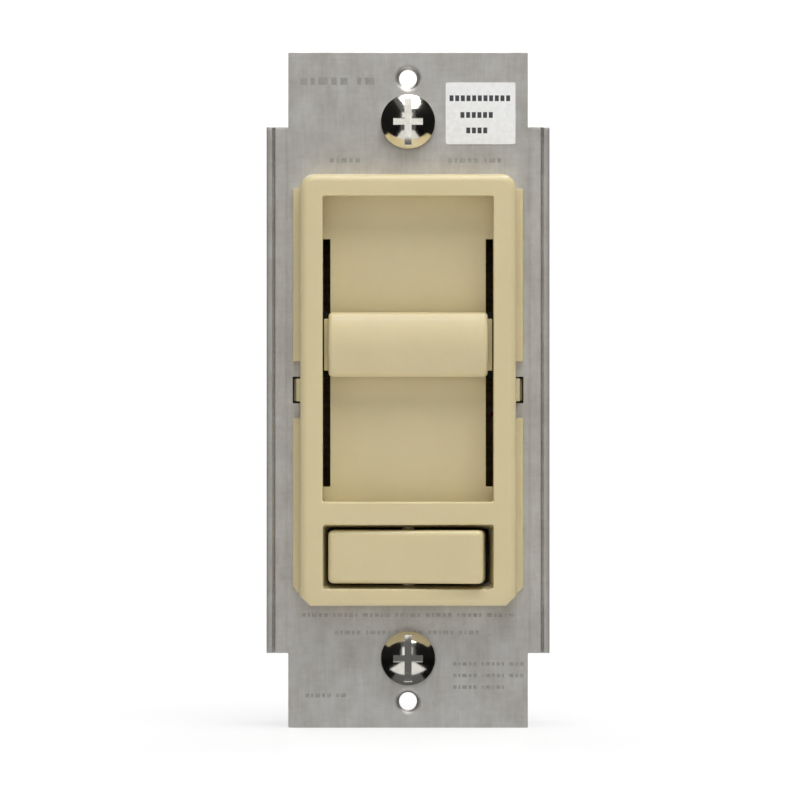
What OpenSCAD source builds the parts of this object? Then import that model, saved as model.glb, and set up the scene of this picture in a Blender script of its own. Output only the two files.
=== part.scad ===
// Decorator-style slide dimmer for a wall box: a bare aluminium heat-sink strap,
// a clip-on ivory face with a slide control and a preset rocker, and a black
// back housing that holds the slide control, the switch and the circuit board.
// +X is the user's right, the face looks along -Y, +Z is up. The origin is on
// the strap's rear face, midway between the two box screws.

/* [Strap] */
// Height of the strap
strap_h = 105; // [102:0.5:108]
// Width of the strap's end tabs
tab_w = 37.2; // [36.5:0.1:38.5]
// Width over the break-off side fins
fin_w = 44; // [43.5:0.1:46]
// Height of the side fins
fin_h = 81.8; // [78:0.2:84]
// Thickness of the strap's sheet
strap_t = 1.6; // [1.4:0.1:2]
// Distance between the two box screws
box_pitch = 83.34; // [83:0.02:84]
// Distance between the two wall-plate holes
plate_pitch = 96.84; // [96:0.02:97]
// Diameter of a tapped wall-plate hole
plate_hole_d = 3.2; // [2.8:0.1:3.4]

/* [Face] */
// Width of the raised face
face_w = 33.3; // [33:0.1:33.6]
// Height of the raised face
face_h = 66.7; // [66.4:0.1:67]
// How far the face stands in front of the strap
face_rise = 7; // [6.8:0.1:8]
// Width over the two side flanges
flange_w = 35.7; // [35.5:0.1:36.4]
// Wall thickness of the mouldings
wall = 1.3; // [1.1:0.1:1.4]

/* [Slide control] */
// Width of the slide recess
recess_w = 26.4; // [26.2:0.1:26.6]
// Depth of the slide recess
recess_d = 5; // [4.5:0.1:5]
// Top of the slide recess
recess_top = 30; // [29.5:0.1:30.2]
// Bottom of the slide recess
recess_low = -17.3; // [-17.6:0.1:-17]
// Width of the knob's bar
knob_w = 24.3; // [24:0.1:24.4]
// Height of the knob's bar
knob_h = 10; // [9:0.5:11]
// Height at which the knob is set
knob_z = 7; // [3:0.5:10]

/* [Rocker] */
// Height of the rocker's centre
rocker_z = -25.8; // [-26:0.1:-25.6]
// Width of the rocker button
rocker_w = 24; // [23.6:0.1:24.2]
// Height of the rocker button
rocker_h = 8.2; // [7.8:0.1:8.4]
// Tilt of the rocker to each side of level
rocker_tilt = 5; // [3:0.5:5.5]

/* [Back housing] */
// Width of the back housing
case_w = 43; // [42.5:0.5:44]
// Height of the back housing
case_h = 71; // [70.5:0.5:72]
// Depth of the back housing behind the strap
case_d = 31; // [30.5:0.5:34]

/* [Hidden] */
$fn = 64;
e = 0.01; // overshoot of a cutting tool
fit = 0.05; // radial clearance of a running fit
gap = 0.3; // air between pieces that move past each other

face_y = -strap_t - face_rise;
floor_y = face_y + recess_d;
floor_t = 1.4;
flange_t = 1.2;
corner_cut = 1.5;
flange_top = 31.2;
flange_low = corner_cut - face_h / 2;
latch_half = 1.75;
latch_relief = 4.45;

slot_w = 1.15;
slot_top = 23.4;
slot_low = -15;
leg_w = 0.8;
leg_h = 8;
leg_x = recess_w / 2 - slot_w / 2;

open_w = 26.5;
open_h = 10;
collar_t = 1.2;
collar_back = -2.4;
pivot_y = -4;
pivot_r = 0.95;
plunger_r = 1.2;

rivet_x = 15.3;
rivet_z = 29.3;
rivet_r = 1.2;
rivet_head_r = 1.9;

pot_x = 6;
pot_w = 9;
pot_len = 45;
pot_z = (slot_top + slot_low) / 2;
pot_y = 6.6;
pot_d = 7;
lever_w = 4;
lever_t = 1.2;

carriage_y = 0.6;
carriage_t = 2.4;
rail_x = 14.6;

board_y = 14.2;
board_t = 1.6;
board_w = 38;
board_h = 62;

film_pins = [[12, 10.5], [12, 23.5]];
trigger_pins = [[7, -3.75], [13.5, -3.75]];
resistor_z = [-4, -8, -12];
resistor_pins = [for (z = resistor_z, x = [-16.7, -6.7]) [x, z]];
diac_pins = [[-5.9, -6], [0.7, -6]];
lead_wire_r = 0.3;
lead_tail = 0.5; // how far a soldered lead stands out of the board

fulcrum_y = 8.2;
arm_tilt = 8;
arm_t = 0.8;
contact_x = 7.5;

screw_r = 1.75;
neck_r = 1.45;
screw_head_r = 4.2;
screw_len = 21;
box_slot_len = 7.2;
box_slot_w = 4.2;
washer_t = 0.8;

triac_z = 28.3;
triac_hole_x = 5.2;
pad_t = 0.25;
lug_x = 9.2;
lug_z = -18.4;

case_wall = 1.8;
lead_r = 1.7;
lead_z = -28;
lead_step = 9;

ivory = "#CBBE96";
aluminium = "#AAA69E";
steel = "#C9CBCC";
brass = "#C9A24B";
black = "#23211F";
copper = "#B5652D";
white = "#F1F1EF";

// ---------------------------------------------------------------- shared forms

// A flat shape drawn as seen from the front, t thick, with its back at y.
module slab(y, t) {
    translate([0, y, 0])
        rotate([90, 0, 0])
            linear_extrude(t)
                children();
}

// A box given by its lowest corner and its highest corner.
module block(low, high) {
    translate(low)
        cube(high - low);
}

// Both sides of the object's middle plane.
module both_sides() {
    children();
    mirror([1, 0, 0])
        children();
}

module round_rect(w, h, r) {
    square([w - 2 * r, h], center = true);
    square([w, h - 2 * r], center = true);
    for (x = [-1, 1], y = [-1, 1])
        translate([x * (w / 2 - r), y * (h / 2 - r)])
            circle(r);
}

module oblong(length, w) {
    square([length - w, w], center = true);
    for (x = [-1, 1])
        translate([x * (length - w) / 2, 0])
            circle(w / 2);
}

// A round bar along Y between two depths.
module bar_y(x, z, r, y1, y2) {
    translate([x, y2, z])
        rotate([90, 0, 0])
            cylinder(r = r, h = y2 - y1);
}

// A flush-headed rivet or its hole through the strap, ending at depth tail.
module flush_rivet(x, z, r, head_r, tail, grow = 0) {
    bar_y(x, z, r + grow, -strap_t, tail);
    translate([x, -strap_t, z])
        rotate([-90, 0, 0])
            cylinder(r1 = head_r + grow, r2 = r + grow, h = head_r - r);
}

// ---------------------------------------------------------------- strap

module strap_outline() {
    square([tab_w, strap_h], center = true);
    square([fin_w, fin_h], center = true);
}

module strap_cutouts() {
    // Side slots that the knob's legs run in
    both_sides()
        translate([leg_x, (slot_top + slot_low) / 2])
            square([leg_w + 1.2, slot_top - slot_low + 1.2], center = true);
    // Window behind the rocker
    translate([0, rocker_z])
        round_rect(open_w - 0.5, open_h - 0.6, 1);
    // Slots for the face's two latches
    both_sides()
        translate([17.1, 0])
            square([1.7, 2 * latch_half + 0.6], center = true);
    for (s = [-1, 1])
        translate([0, s * box_pitch / 2])
            oblong(box_slot_len, box_slot_w);
}

module strap() {
    score_x = 19.2;
    color(aluminium)
        difference() {
            slab(0, strap_t)
                difference() {
                    strap_outline();
                    strap_cutouts();
                }
            for (s = [-1, 1])
                translate([0, 0, s * plate_pitch / 2]) {
                    bar_y(0, 0, plate_hole_d / 2, -strap_t - e, e);
                    // Dimple round the tapped hole
                    translate([0, -strap_t, 0])
                        rotate([-90, 0, 0])
                            translate([0, 0, -e])
                                cylinder(r1 = plate_hole_d / 2 + 0.7, r2 = plate_hole_d / 2, h = 0.35);
                }
            for (x = [-1, 1], z = [-1, 1])
                flush_rivet(x * rivet_x, z * rivet_z, rivet_r, rivet_head_r, e, 0.05);
            flush_rivet(triac_hole_x, triac_z, 1.5, 2.4, e, 0.05);
            flush_rivet(lug_x, lug_z, 1.2, 2.0, e, 0.05);
            // Score lines that let the side fins break off
            both_sides()
                for (y = [-strap_t - e, -0.4])
                    block(
                        [score_x - 0.25, y, -fin_h / 2 - e],
                        [score_x + 0.25, y + 0.4 + e, fin_h / 2 + e]
                    );
        }
}

// ---------------------------------------------------------------- face

// Outline of a plate with two rounded upper and two chamfered lower corners.
module cornered_plate(w, top, low, r, c) {
    intersection() {
        translate([0, (top + low) / 2 - r])
            round_rect(w, top - low + 2 * r, r);
        polygon([
            [-w / 2, top], [w / 2, top], [w / 2, low + c],
            [w / 2 - c, low], [-w / 2 + c, low], [-w / 2, low + c]
        ]);
    }
}

module face_outline(w, h) {
    cornered_plate(w, h / 2, -h / 2, 2.2, corner_cut);
}

// Section of the raised face: a box whose two front edges are rounded.
module pillow_section(w) {
    r = 1.4;
    d = face_rise;
    translate([-w / 2, -d + r])
        square([w, d - r]);
    translate([-w / 2 + r, -d])
        square([w - 2 * r, d]);
    for (s = [-1, 1])
        translate([s * (w / 2 - r), -d + r])
            circle(r);
}

module face_block() {
    intersection() {
        slab(-strap_t, face_rise)
            face_outline(face_w, face_h);
        translate([0, -strap_t, -face_h / 2])
            linear_extrude(face_h)
                pillow_section(face_w);
        translate([-face_w / 2, -strap_t, 0])
            rotate([90, 0, 90])
                linear_extrude(face_w)
                    rotate(-90)
                        pillow_section(face_h);
    }
}

module face_hollow() {
    back = -strap_t + e;
    front = face_y + wall;
    tub = recess_w / 2 + wall;
    collar = open_w / 2 + collar_t;
    difference() {
        slab(back, back - front)
            face_outline(face_w - 2 * wall, face_h - 2 * wall);
        block([-tub, front - 1, recess_low - wall], [tub, floor_y + floor_t, recess_top + wall]);
        block([-collar, front - 1, -face_h / 2], [collar, collar_back, rocker_z + open_h / 2 + collar_t]);
    }
}

module recess_cut() {
    lip = 0.9;
    block([-recess_w / 2, face_y - 1, recess_low], [recess_w / 2, floor_y, recess_top]);
    // Sloped lower lip of the recess
    translate([-recess_w / 2, 0, 0])
        rotate([90, 0, 90])
            linear_extrude(recess_w)
                polygon([
                    [face_y - e, recess_low + e], [face_y - e, recess_low - lip],
                    [face_y + 1.2 * lip, recess_low + e]
                ]);
    both_sides()
        block(
            [recess_w / 2 - slot_w, floor_y - 1, slot_low],
            [recess_w / 2, floor_y + floor_t + 1, slot_top]
        );
}

module rocker_cut() {
    slab(0, 12)
        translate([0, rocker_z])
            round_rect(open_w, open_h, 1.5);
    // Bearings for the rocker's two pivot pins
    translate([0, pivot_y, rocker_z - open_h / 2 - collar_t - 0.1])
        cylinder(r = pivot_r + fit, h = open_h + 2 * collar_t + 0.2);
}

module latch() {
    translate([0, 0, -latch_half])
        linear_extrude(2 * latch_half)
            polygon([
                [16.3, -4.6], [17, -4.6], [17.35, -4.2], [17.35, 0.15], [17.8, 0.15],
                [17.8, 0.5], [17.3, 1.3], [16.7, 1.3], [16.7, -1.7], [16.3, -2]
            ]);
}

module flanges() {
    difference() {
        slab(-strap_t, flange_t)
            cornered_plate(flange_w, flange_top, flange_low, 1, (flange_w - face_w) / 2);
        block([-face_w / 2 + wall, -4, -40], [face_w / 2 - wall, 0, 40]);
        both_sides()
            block([face_w / 2, -4, -latch_relief], [flange_w, 0, latch_relief]);
    }
}

module bezel() {
    color(ivory)
        difference() {
            union() {
                face_block();
                flanges();
                both_sides()
                    latch();
            }
            face_hollow();
            recess_cut();
            rocker_cut();
        }
}

// ---------------------------------------------------------------- slide control

// Section of the knob's bar, front to the left: a crowned front between two
// softened edges.
module knob_section(d) {
    crown_r = 12;
    edge_r = 0.9;
    intersection() {
        translate([d / 2, 0])
            round_rect(d, knob_h, edge_r);
        translate([crown_r, 0])
            circle(crown_r, $fn = 128);
    }
}

module slider_knob() {
    front = face_y - 0.5;
    back = floor_y - gap;
    color(ivory)
        translate([0, 0, knob_z]) {
            difference() {
                intersection() {
                    translate([-knob_w / 2, front, 0])
                        rotate([90, 0, 90])
                            linear_extrude(knob_w)
                                knob_section(back - front);
                    slab(0, 12)
                        round_rect(knob_w, knob_h, 1);
                }
                // Hollow behind the bar
                block(
                    [-knob_w / 2 + wall, front + 1.6, -knob_h / 2 + wall],
                    [knob_w / 2 - wall, back + 1, knob_h / 2 - wall]
                );
            }
            // Legs that run in the side slots, with a barb under the carriage
            both_sides() {
                block(
                    [leg_x - leg_w / 2 - 0.2, front + 2.4, -leg_h / 2],
                    [leg_x + leg_w / 2, back, leg_h / 2]
                );
                block(
                    [leg_x - leg_w / 2, back - 0.1, -leg_h / 2],
                    [leg_x + leg_w / 2, carriage_y + carriage_t + 0.7, leg_h / 2]
                );
            }
        }
}

module slider_carriage() {
    end_h = leg_h + 2.2;
    lever_pocket = lever_t / 2 + fit;
    color(black)
        translate([0, 0, knob_z])
            difference() {
                union() {
                    both_sides()
                        block(
                            [leg_x - 1.6, carriage_y, -end_h / 2],
                            [rail_x - gap, carriage_y + carriage_t, end_h / 2]
                        );
                    block([-12, carriage_y, -2.5], [12, carriage_y + carriage_t, 2.5]);
                    // Fork that carries the slide control's lever
                    block([pot_x - 3, carriage_y, -2.2], [pot_x + 3, pot_y - 0.6, 2.2]);
                }
                both_sides()
                    block(
                        [leg_x - leg_w / 2 - fit, 0, -leg_h / 2 - fit],
                        [leg_x + leg_w / 2 + fit, 6, leg_h / 2 + fit]
                    );
                block(
                    [pot_x - lever_w / 2 - fit, 2, -lever_pocket],
                    [pot_x + lever_w / 2 + fit, 8, lever_pocket]
                );
            }
}

module pot_lever() {
    color(black)
        translate([pot_x, 0, knob_z]) {
            block([-lever_w / 2, 2.2, -lever_t / 2], [lever_w / 2, pot_y + 2, lever_t / 2]);
            block([-3.2, pot_y + 0.9, -3], [3.2, pot_y + 2.9, 3]);
        }
}

module pot_wiper() {
    color(brass)
        translate([pot_x, 0, knob_z])
            for (x = [-1.5, 1.5])
                translate([x - 0.6, 0, 0])
                    rotate([90, 0, 90])
                        linear_extrude(1.2)
                            polygon([
                                [pot_y + 2.9, 2.6], [pot_y + 3.1, 2.6], [pot_y + 3.1, 0.6],
                                [pot_y + 4.5, -1.8], [pot_y + 4.3, -2], [pot_y + 2.9, 0.4]
                            ]);
}

module pot_case() {
    skin = 0.5;
    low = pot_z - pot_len / 2;
    high = pot_z + pot_len / 2;
    color(steel)
        difference() {
            block([pot_x - pot_w / 2, pot_y, low], [pot_x + pot_w / 2, pot_y + pot_d, high]);
            block(
                [pot_x - pot_w / 2 + skin, pot_y + skin, low + skin],
                [pot_x + pot_w / 2 - skin, pot_y + pot_d + 1, high - skin]
            );
            slab(pot_y + 1, 2)
                translate([pot_x, pot_z])
                    square([lever_w + 0.8, slot_top - slot_low + 0.6], center = true);
        }
}

module pot_track() {
    low = pot_z - pot_len / 2 + 0.6;
    high = pot_z + pot_len / 2 - 0.6;
    color("#5B4630")
        block(
            [pot_x - pot_w / 2 + 0.6, pot_y + pot_d - 1.6, low],
            [pot_x + pot_w / 2 - 0.6, pot_y + pot_d - 0.1, high]
        );
}

module pot_pins() {
    color(steel)
        for (z = [-19, 19, 21])
            translate([pot_x - 0.6, pot_y + pot_d - 0.1, pot_z + z - 0.2])
                cube([1.2, board_y + board_t + 1 - pot_y - pot_d, 0.4]);
}

// ---------------------------------------------------------------- frame

module frame_openings() {
    // Run of the carriage
    translate([0, (24.6 + slot_low - 1.6) / 2])
        square([2 * rail_x, 24.6 - slot_low + 1.6], center = true);
    // Room for the power switch on the strap
    translate([0, triac_z])
        square([20, 11.4], center = true);
    translate([0, rocker_z])
        round_rect(10, 8.4, 1);
    both_sides()
        translate([17.1, 0])
            square([2.6, 6], center = true);
    // Corners that the housing's bosses fill
    for (x = [-1, 1], z = [-1, 1])
        translate([x * (rivet_x + 2), z * rivet_z])
            square([9.8, 7], center = true);
    translate([lug_x, lug_z])
        square([7.6, 10.4], center = true);
}

module mechanism_frame() {
    plate_y = 1.35;
    color("#3A3733")
        union() {
            slab(plate_y, plate_y - 0.15)
                difference() {
                    round_rect(38.6, 67, 1.5);
                    frame_openings();
                }
            // Rails with inward lips that hold the carriage
            both_sides() {
                block([rail_x, plate_y - 0.1, slot_low - 1.6], [rail_x + 1.3, 4.4, 24.6]);
                block([rail_x - 1, 3.5, slot_low - 1.6], [rail_x + 0.1, 4.4, 24.6]);
            }
            // Posts under the switch base
            for (at = [[-10.8, -4.4], [-10.8, 4.4], [10.8, -4.4], [3.6, 5.8]])
                translate([at.x, plate_y - 0.1, rocker_z + at.y])
                    rotate([-90, 0, 0])
                        cylinder(r = 0.7, h = 5.6 - plate_y + 0.1);
        }
}

// ---------------------------------------------------------------- rocker and switch

// Places its children on the rocker's pivot, tilted to the rest position.
module on_rocker(y = pivot_y) {
    translate([0, y, rocker_z])
        rotate([0, 0, -rocker_tilt])
            children();
}

module rocker_button() {
    face = face_y - pivot_y;
    rise = rocker_w / 2 * tan(rocker_tilt / 2);
    draft = 0.5;
    color(ivory)
        on_rocker()
            difference() {
                union() {
                    // Two flat halves that meet in a shallow valley, on drafted sides
                    intersection() {
                        translate([0, 0, -rocker_h])
                            linear_extrude(2 * rocker_h)
                                polygon([
                                    [-rocker_w / 2, face - rise], [0, face], [rocker_w / 2, face - rise],
                                    [rocker_w / 2 + draft, 0.4], [-rocker_w / 2 - draft, 0.4]
                                ]);
                        translate([-rocker_w, 0, 0])
                            rotate([90, 0, 90])
                                linear_extrude(2 * rocker_w)
                                    polygon([
                                        [face - rise - 1, -rocker_h / 2], [face - rise - 1, rocker_h / 2],
                                        [0.4, rocker_h / 2 + draft], [0.4, -rocker_h / 2 - draft]
                                    ]);
                    }
                    block([-2, -1, -2.2], [2, 7, 2.2]);
                    translate([0, 0, -open_h / 2 - 0.9])
                        cylinder(r = pivot_r, h = open_h + 1.8);
                }
                // Hollow halves on each side of the middle web
                for (s = [-1, 1])
                    translate([s * 6.5, 0, 0])
                        block([-4.2, face + wall, -rocker_h / 2 + 1.1], [4.2, 1, rocker_h / 2 - 1.1]);
                // Bore for the spring and plunger
                bar_y(0, 0, plunger_r + fit, 1.4, 8);
            }
}

module rocker_plunger() {
    color(white)
        on_rocker()
            translate([0, 4.6, 0])
                rotate([-90, 0, 0])
                    rotate_extrude() {
                        square([plunger_r, 4.4]);
                        intersection() {
                            translate([0, 4.4])
                                circle(plunger_r);
                            translate([0, 4])
                                square([plunger_r, 3]);
                        }
                    }
}

module plunger_spring() {
    turns = 5;
    wire = 0.18;
    low = 1.5;
    pitch = (4.5 - low - 2 * wire) / turns;
    steps = 12;
    sides = 6;
    points = [
        for (i = [0:turns * steps])
            for (j = [0:sides - 1])
                let (a = 360 * i / steps, b = 360 * j / sides, r = 0.95 + wire * cos(b))
                    [r * cos(a), low + wire + pitch * i / steps + wire * sin(b), r * sin(a)]
    ];
    last = turns * steps * sides;
    faces = concat(
        [[for (j = [sides - 1:-1:0]) j]],
        [[for (j = [0:sides - 1]) last + j]],
        [
            for (i = [0:turns * steps - 1])
                for (j = [0:sides - 1])
                    [
                        i * sides + j, i * sides + (j + 1) % sides,
                        (i + 1) * sides + (j + 1) % sides, (i + 1) * sides + j
                    ]
        ]
    );
    color(steel)
        on_rocker()
            polyhedron(points, faces);
}

module switch_base() {
    skin = 1.2;
    low = rocker_z - 6.6;
    high = rocker_z + 6.6;
    color("#2E2A27")
        difference() {
            block([-12, 5.6, low], [12, board_y - 0.1, high]);
            block([-12 + skin, 5, low + skin], [12 - skin, board_y - 1.6, high - skin]);
            // Slots for the three terminals
            for (x = [-contact_x, 0, contact_x])
                block([x - 0.5, board_y - 3, rocker_z - 1.6], [x + 0.5, board_y + 1, rocker_z + 1.6]);
        }
}

// Places its children on the contact arm's fulcrum, tilted to the rest position.
module on_fulcrum() {
    translate([0, fulcrum_y, rocker_z])
        rotate([0, 0, arm_tilt])
            children();
}

module contact_arm() {
    color(brass)
        on_fulcrum()
            difference() {
                union() {
                    block([-9, -0.9 - arm_t, -2.4], [9, -0.9, 2.4]);
                    block([-1.6, -1, -2.4], [1.6, 0, 2.4]);
                }
                translate([0, 0, -3])
                    cylinder(r = 0.7 + fit, h = 6);
            }
}

module moving_contacts() {
    color(steel)
        on_fulcrum()
            for (x = [-contact_x, contact_x])
                bar_y(x, 0, 1.4, -0.9, -0.2);
}

module fixed_contacts() {
    drop = contact_x * sin(arm_tilt) + 0.25;
    color(brass)
        for (x = [-contact_x, contact_x]) {
            bar_y(x, rocker_z, 1.4, fulcrum_y - 0.1 + drop, fulcrum_y + 0.8 + drop);
            block(
                [x - 1.8, fulcrum_y + 0.8 + drop, rocker_z - 1.8],
                [x + 1.8, fulcrum_y + 1.5 + drop, rocker_z + 1.8]
            );
            block(
                [x - 0.35, fulcrum_y + 1.4 + drop, rocker_z - 1.5],
                [x + 0.35, board_y + board_t + 1, rocker_z + 1.5]
            );
        }
}

module fulcrum_terminal() {
    color(brass) {
        translate([0, fulcrum_y, rocker_z - 2.6])
            cylinder(r = 0.7, h = 5.2);
        for (s = [-1, 1])
            block(
                [-0.7, fulcrum_y, rocker_z + s * 3 - 0.45],
                [0.7, board_y - 2, rocker_z + s * 3 + 0.45]
            );
        block([-0.7, board_y - 2.4, rocker_z - 3.45], [0.7, board_y - 1.7, rocker_z + 3.45]);
        block([-0.35, board_y - 2, rocker_z - 1.5], [0.35, board_y + board_t + 1, rocker_z + 1.5]);
    }
}

// ---------------------------------------------------------------- circuit

module circuit_board() {
    color("#B08A4A")
        difference() {
            slab(board_y + board_t, board_t)
                round_rect(board_w, board_h, 1);
            for (x = [-contact_x, 0, contact_x])
                block([x - 0.45, board_y - 1, rocker_z - 1.6], [x + 0.45, board_y + 3, rocker_z + 1.6]);
            for (z = [-19, 19, 21])
                block(
                    [pot_x - 0.7, board_y - 1, pot_z + z - 0.3],
                    [pot_x + 0.7, board_y + 3, pot_z + z + 0.3]
                );
            for (z = [-2.54, 0, 2.54])
                bar_y(-9.4, triac_z + z, 0.55, board_y - 1, board_y + 3);
            for (pin = concat(film_pins, trigger_pins, resistor_pins, diac_pins))
                bar_y(pin.x, pin.y, lead_wire_r + fit, board_y - 1, board_y + 3);
        }
}

// Soldered leads from a height above the board down through it.
module leads(pins, height) {
    for (pin = pins)
        bar_y(pin.x, pin.y, lead_wire_r, board_y - lead_tail, board_y + board_t + height);
}

module triac() {
    body_t = 4.4;
    tab_t = 1.3;
    y = pad_t;
    color(black)
        union() {
            block([-7, y, triac_z - 5], [2, y + body_t, triac_z + 5]);
            difference() {
                block([1.9, y, triac_z - 5], [8.6, y + tab_t, triac_z + 5]);
                bar_y(triac_hole_x, triac_z, 1.6, y - 1, y + 3);
            }
            for (z = [-2.54, 0, 2.54]) {
                block([-9.8, y + 2, triac_z + z - 0.35], [-6.9, y + 2.6, triac_z + z + 0.35]);
                block([-9.8, y + 2, triac_z + z - 0.35], [-9.2, board_y + board_t + 1, triac_z + z + 0.35]);
            }
        }
}

module triac_pad() {
    color("#C8C6BE")
        difference() {
            block([-7.6, 0, triac_z - 5.4], [9.4, pad_t, triac_z + 5.4]);
            bar_y(triac_hole_x, triac_z, 1.6, -1, 1);
        }
}

module triac_rivet() {
    color(aluminium)
        union() {
            flush_rivet(triac_hole_x, triac_z, 1.5, 2.4, pad_t + 1.4);
            bar_y(triac_hole_x, triac_z, 2.5, pad_t + 1.3, pad_t + 2.3);
        }
}

module choke_core() {
    color("#3B3A38")
        translate([-7, 17.6, 13])
            rotate([-90, 0, 0])
                difference() {
                    cylinder(r = 8.4, h = 6);
                    translate([0, 0, -1])
                        cylinder(r = 5.2, h = 8);
                }
}

module choke_winding() {
    color(copper)
        translate([-7, 16, 13])
            rotate([-90, 0, 0])
                rotate([0, 0, 25])
                    rotate_extrude(angle = 310)
                        difference() {
                            translate([6.8, 4.6])
                                square([6.4, 9], center = true);
                            translate([6.8, 4.6])
                                square([3.3, 6.1], center = true);
                        }
}

module film_capacitor() {
    color("#D9A92F")
        union() {
            slab(board_y + board_t + 11, 11)
                translate([12, 17])
                    round_rect(9.2, 18, 1.2);
            leads(film_pins, 1);
        }
}

module trigger_capacitor() {
    color("#B23A2A")
        union() {
            slab(board_y + board_t + 8, 8)
                translate([10.25, -3.75])
                    round_rect(10.5, 4.5, 1);
            leads(trigger_pins, 1);
        }
}

module resistors() {
    lift = 1.4;
    color("#C9B18A") {
        for (z = resistor_z)
            translate([-15, board_y + board_t + lift, z])
                rotate([0, 90, 0]) {
                    // Body with its two wider end caps
                    cylinder(r = 1.05, h = 6.6);
                    for (end = [0, 5.1])
                        translate([0, 0, end])
                            cylinder(r = 1.2, h = 1.5);
                    translate([0, 0, -2])
                        cylinder(r = lead_wire_r, h = 10.6);
                }
        leads(resistor_pins, lift);
    }
}

module diac() {
    lift = 1.1;
    color("#B65A3C") {
        translate([-4.6, board_y + board_t + lift, -6])
            rotate([0, 90, 0]) {
                cylinder(r = 0.95, h = 4);
                translate([0, 0, -1.6])
                    cylinder(r = lead_wire_r, h = 7.2);
            }
        leads(diac_pins, lift);
    }
}

module trim_pot() {
    y = board_y + board_t;
    color("#2C5AA0")
        difference() {
            union() {
                block([-4, y, -17], [3, y + 3.6, -10]);
                bar_y(-0.5, -13.5, 2.4, y + 3.5, y + 4.6);
            }
            block([-2.5, y + 4, -13.8], [1.5, y + 6, -13.2]);
        }
}

// ---------------------------------------------------------------- housing

// Section of the housing: its two rear edges are rounded.
module case_section(w, d, r) {
    translate([-w / 2, 0])
        square([w, d - r]);
    translate([-w / 2 + r, 0])
        square([w - 2 * r, d]);
    for (s = [-1, 1])
        translate([s * (w / 2 - r), d - r])
            circle(r);
}

module case_block(inset) {
    r = 2.4 - min(inset, 1.4);
    w = case_w - 2 * inset;
    h = case_h - 2 * inset;
    d = case_d - inset;
    intersection() {
        slab(d, d - 0.05)
            round_rect(w, h, r);
        translate([0, 0, -h / 2])
            linear_extrude(h)
                case_section(w, d, r);
        translate([-w / 2, 0, 0])
            rotate([90, 0, 90])
                linear_extrude(w)
                    rotate(-90)
                        case_section(h, d, r);
    }
}

module back_housing() {
    boss_r = 2.6;
    color(black)
        difference() {
            union() {
                difference() {
                    case_block(0);
                    translate([0, -0.1, 0])
                        case_block(case_wall);
                    block(
                        [-case_w / 2 + case_wall, -1, -case_h / 2 + case_wall],
                        [case_w / 2 - case_wall, 1, case_h / 2 - case_wall]
                    );
                }
                for (x = [-1, 1], z = [-1, 1]) {
                    bar_y(x * rivet_x, z * rivet_z, boss_r, 0.05, 10);
                    block(
                        [x > 0 ? rivet_x : -case_w / 2 + 1, 0.05, z * rivet_z - 0.8],
                        [x > 0 ? case_w / 2 - 1 : -rivet_x, 10, z * rivet_z + 0.8]
                    );
                }
                // Ribs that the circuit board rests against
                for (s = [-1, 1], z = [-18, 18])
                    block(
                        [s > 0 ? board_w / 2 - 2 : -case_w / 2 + 1, board_y + board_t + 0.05, z - 1],
                        [s > 0 ? case_w / 2 - 1 : -board_w / 2 + 2, case_d - 1, z + 1]
                    );
            }
            for (x = [-1, 1], z = [-1, 1])
                bar_y(x * rivet_x, z * rivet_z, rivet_r + 0.02, -1, 8.6);
            // Shallow panel in the rear face
            block([-13, case_d - 0.5, -14], [13, case_d + 1, 20]);
            // Exits for the leads
            for (i = [-1, 0, 1])
                bar_y(i * lead_step, lead_z, lead_r, case_d - 4, case_d + 1);
        }
}

module housing_rivets() {
    color(steel)
        for (x = [-1, 1], z = [-1, 1])
            flush_rivet(x * rivet_x, z * rivet_z, rivet_r, rivet_head_r, 8.4);
}

module ground_lug() {
    color(brass)
        union() {
            flush_rivet(lug_x, lug_z, 1.2, 2.0, 0.9);
            bar_y(lug_x, lug_z, 2.8, 0.05, 0.85);
            block([lug_x - 1.2, 0.05, lug_z], [lug_x + 1.2, 0.85, lug_z + 4.6]);
            bar_y(lug_x, lug_z, 1.9, 0.8, 1.5);
        }
}

module rating_label() {
    color(white)
        slab(-strap_t, 0.1)
            translate([10.95, 43.4])
                square([10.3, 9.2], center = true);
}

// ---------------------------------------------------------------- box screws

// Domed screw with a slot and a cross recess. Its thread is wider than its neck,
// so the washer on the neck keeps it captive in the strap.
module box_screw(z) {
    seat = -strap_t - gap;
    neck_len = gap + washer_t + gap - seat;
    rim = 0.7;
    dome = 2;
    dome_r = (screw_head_r * screw_head_r + dome * dome) / (2 * dome);
    color(steel)
        translate([0, 0, z])
            difference() {
                translate([0, seat, 0])
                    rotate([90, 0, 0])
                        union() {
                            cylinder(r = screw_head_r, h = rim);
                            intersection() {
                                translate([0, 0, rim + dome - dome_r])
                                    sphere(dome_r, $fn = 96);
                                translate([0, 0, rim - e])
                                    cylinder(r = screw_head_r, h = dome + 1);
                            }
                            translate([0, 0, -neck_len - e])
                                cylinder(r = neck_r, h = neck_len + 0.1);
                            translate([0, 0, -screw_len])
                                cylinder(r = screw_r, h = screw_len - neck_len);
                            translate([0, 0, -screw_len - 0.6])
                                cylinder(r1 = screw_r - 0.6, r2 = screw_r, h = 0.6);
                        }
                // Slot and cross recess
                block([-0.55, seat - 5, -screw_head_r - 1], [0.55, seat - 1.5, screw_head_r + 1]);
                block([-2.3, seat - 5, -0.55], [2.3, seat - 1.2, 0.55]);
            }
}

module box_screw_top() {
    box_screw(box_pitch / 2);
}

module box_screw_bottom() {
    box_screw(-box_pitch / 2);
}

module washer(z) {
    color("#6E5A45")
        difference() {
            bar_y(0, z, 4.4, gap, gap + washer_t);
            bar_y(0, z, neck_r + fit, -1, 3);
        }
}

module washer_top() {
    washer(box_pitch / 2);
}

module washer_bottom() {
    washer(-box_pitch / 2);
}

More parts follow.
